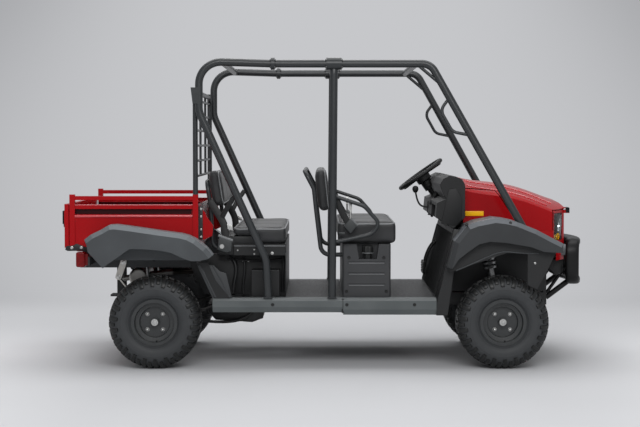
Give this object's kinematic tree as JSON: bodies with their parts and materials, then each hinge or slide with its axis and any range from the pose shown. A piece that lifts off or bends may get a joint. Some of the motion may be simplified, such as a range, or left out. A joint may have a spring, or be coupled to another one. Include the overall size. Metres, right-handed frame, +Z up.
{
  "type": "side by side utv",
  "caption": "Crew utility side-by-side: two bench seats under a tubular cage, tilting cargo bed with tailgate, lifting hood, steered front wheels and lugged tyres.",
  "frame": {"origin": "on the ground under the middle of the vehicle's length and width", "axes": "+X forward, +Y to the vehicle's left, +Z up"},
  "size_m": [3.3319, 1.61, 1.941],
  "materials": {
    "red_paint": "glossy deep red enamel",
    "black_steel": "satin black powder coat",
    "rim_steel": "satin dark enamel",
    "bare_steel": "plain steel",
    "cast_metal": "cast and painted dark",
    "muffler_steel": "heat-stained steel",
    "dark_plastic": "grained mouldings",
    "seat_vinyl": "charcoal vinyl",
    "tyre_rubber": "matt rubber",
    "grip": "soft moulded grip",
    "lamp_lens": "clear lens over a bright bowl",
    "red_lens": "red lens"
  },
  "bodies": {
    "chassis": {"frame": "black_steel", "rear_subframe": "black_steel", "rear_crosses": "black_steel", "front_subframe": "black_steel", "floor": "dark_plastic", "side_sills": "dark_plastic", "roll_cage_rear": "black_steel", "roof_rails": "black_steel", "centre_hoop": "black_steel", "roll_cage_front": "black_steel", "front_seat_base": "dark_plastic", "front_seat_cushion": "seat_vinyl", "front_seat_back": "seat_vinyl", "front_seat_frame": "black_steel", "rear_seat_base": "dark_plastic", "rear_seat_cushion": "seat_vinyl", "rear_seat_back": "seat_vinyl", "rear_seat_frame": "black_steel", "dashboard": "dark_plastic", "steering_column": "dark_plastic", "cowl_panels": "red_paint", "front_panel": "red_paint", "grille": "dark_plastic", "front_guard": "black_steel", "rear_axle": "black_steel", "engine": "cast_metal", "air_box": "dark_plastic", "battery": "dark_plastic", "exhaust": "muffler_steel", "fuel_cap": "dark_plastic", "rack_housing": "black_steel", "hip_guards": "black_steel", "headlamps": "lamp_lens", "front_fenders": "dark_plastic", "rear_fenders": "dark_plastic", "splash_guards": "dark_plastic", "leaf_springs": "black_steel", "rear_dampers": "bare_steel", "tail_lamps": "red_lens", "front_arms": "black_steel"},
    "knuckle_right": {"knuckle_right": "bare_steel", "strut_right": "bare_steel"},
    "knuckle_left": {"knuckle_left": "bare_steel", "strut_left": "bare_steel"},
    "wheel_front_right": {"rim_front_right": "rim_steel", "tyre_front_right": "tyre_rubber"},
    "wheel_front_left": {"rim_front_left": "rim_steel", "tyre_front_left": "tyre_rubber"},
    "wheel_rear_right": {"rim_rear_right": "rim_steel", "tyre_rear_right": "tyre_rubber"},
    "wheel_rear_left": {"rim_rear_left": "rim_steel", "tyre_rear_left": "tyre_rubber"},
    "steering_wheel": {"steering_wheel": "grip"},
    "steering_rack": {"steering_rack": "bare_steel"},
    "hood": {"hood": "red_paint"},
    "bed": {"bed_tub": "red_paint", "bed_rails": "red_paint", "bed_screen": "black_steel", "bed_wings": "red_paint"},
    "tailgate": {"tailgate": "red_paint"}
  },
  "joints": [
    {"name": "steer_right", "type": "hinge", "parent": "chassis", "child": "knuckle_right", "pos_m": [1.09, -0.49, 0.2], "axis": [-0.1323, 0.1737, 0.9759], "range_deg": [-30, 30]},
    {"name": "steer_left", "type": "hinge", "parent": "chassis", "child": "knuckle_left", "pos_m": [1.09, 0.49, 0.2], "axis": [-0.1323, -0.1737, 0.9759], "range_deg": [-30, 30]},
    {"name": "rack_slide", "type": "slide", "parent": "chassis", "child": "steering_rack", "axis": [0, 1, 0], "range_m": [-0.0587, 0.0587]},
    {"name": "steering_wheel_turn", "type": "hinge", "parent": "chassis", "child": "steering_wheel", "pos_m": [0.636, 0.33, 1.198], "axis": [-0.5807, 0, 0.8141], "range_deg": [-540, 540]},
    {"name": "wheel_front_right_spin", "type": "hinge", "parent": "knuckle_right", "child": "wheel_front_right", "pos_m": [1.09, -0.585, 0.29], "axis": [0, 1, 0], "continuous": true},
    {"name": "wheel_front_left_spin", "type": "hinge", "parent": "knuckle_left", "child": "wheel_front_left", "pos_m": [1.09, 0.585, 0.29], "axis": [0, 1, 0], "continuous": true},
    {"name": "wheel_rear_right_spin", "type": "hinge", "parent": "chassis", "child": "wheel_rear_right", "pos_m": [-1.09, -0.585, 0.29], "axis": [0, 1, 0], "continuous": true},
    {"name": "wheel_rear_left_spin", "type": "hinge", "parent": "chassis", "child": "wheel_rear_left", "pos_m": [-1.09, 0.585, 0.29], "axis": [0, 1, 0], "continuous": true},
    {"name": "hood_lift", "type": "hinge", "parent": "chassis", "child": "hood", "pos_m": [1.555, 0, 0.9885], "axis": [0, 1, 0], "range_deg": [0, 70]},
    {"name": "bed_tilt", "type": "hinge", "parent": "chassis", "child": "bed", "pos_m": [-1.562, 0, 0.735], "axis": [0, -1, 0], "range_deg": [0, 42]},
    {"name": "tailgate_drop", "type": "hinge", "parent": "bed", "child": "tailgate", "pos_m": [-1.641, 0, 0.7424], "axis": [0, -1, 0], "range_deg": [0, 90]}
  ],
  "couplings": [
    {"joint": "steer_left", "follows": "steer_right", "ratio": 1},
    {"joint": "rack_slide", "follows": "steer_right", "m_per_rad": -0.112},
    {"joint": "steering_wheel_turn", "follows": "steer_right", "ratio": 18}
  ]
}
